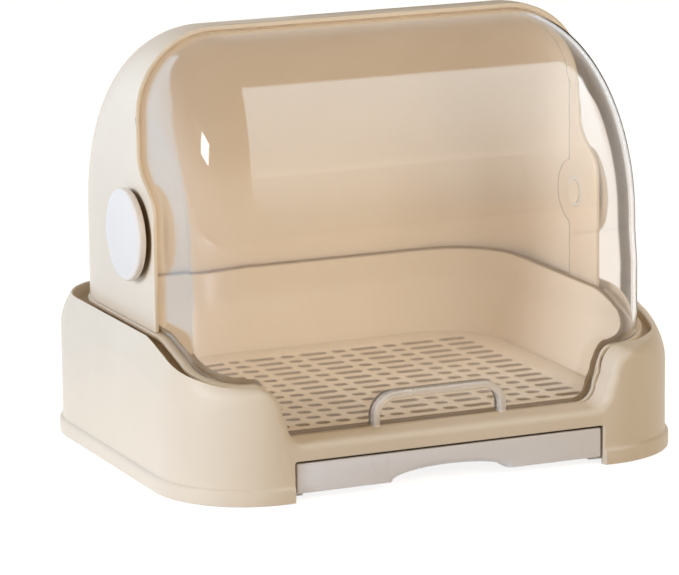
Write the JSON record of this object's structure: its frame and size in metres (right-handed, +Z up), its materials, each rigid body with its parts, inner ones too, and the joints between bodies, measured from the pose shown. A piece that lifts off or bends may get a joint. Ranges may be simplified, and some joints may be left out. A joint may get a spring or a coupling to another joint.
{
  "type": "baby bottle drying rack",
  "caption": "Covered drying rack for baby bottles: slotted grille in a bin, domed cover with a clear visor that swings up, and a drip drawer in the base.",
  "frame": {"origin": "on the table under the middle of the base", "axes": "+Z up, front with the drawer towards -Y, +X along the width"},
  "size_m": [0.315, 0.255, 0.25],
  "materials": {
    "cream_plastic": "satin",
    "grille_plastic": "satin",
    "frosted_plastic": "frosted",
    "clear_plastic": "clear, tinted",
    "white_plastic": "satin",
    "natural_plastic": "waxy",
    "steel": "bright",
    "pad_rubber": "matte"
  },
  "bodies": {
    "base": {"base_shell": "cream_plastic", "inner_bin": "cream_plastic", "drawer_rail_left": "natural_plastic", "drawer_rail_right": "natural_plastic", "foot_pad_front_left": "pad_rubber", "foot_pad_front_right": "pad_rubber", "foot_pad_back_left": "pad_rubber", "foot_pad_back_right": "pad_rubber", "bin_screw_front_left": "steel", "bin_screw_front_right": "steel", "bin_screw_back_left": "steel", "bin_screw_back_right": "steel", "rail_screw_front_left": "steel", "rail_screw_front_right": "steel", "rail_screw_back_left": "steel", "rail_screw_back_right": "steel"},
    "grille": {"drain_grille": "grille_plastic"},
    "drawer": {"drip_drawer": "frosted_plastic"},
    "cover": {"rear_shell": "cream_plastic", "pivot_bush_left": "natural_plastic", "pivot_bush_right": "natural_plastic"},
    "flap": {"visor": "clear_plastic", "pivot_knob_left": "white_plastic", "pivot_knob_right": "white_plastic", "pivot_carrier_left": "natural_plastic", "pivot_carrier_right": "natural_plastic", "pivot_screw_left": "steel", "pivot_screw_right": "steel"}
  },
  "joints": [
    {"name": "visor_hinge", "type": "hinge", "parent": "cover", "child": "flap", "pos_m": [0, -0.005, 0.1345], "axis": [-1, 0, 0], "range_deg": [0, 90]},
    {"name": "cover_lift", "type": "slide", "parent": "base", "child": "cover", "axis": [0, 0, 1], "range_m": [0, 0.06]},
    {"name": "grille_lift", "type": "slide", "parent": "base", "child": "grille", "axis": [0, 0, 1], "range_m": [0, 0.025]},
    {"name": "drawer_slide", "type": "slide", "parent": "base", "child": "drawer", "axis": [0, -1, 0], "range_m": [0, 0.15]}
  ]
}
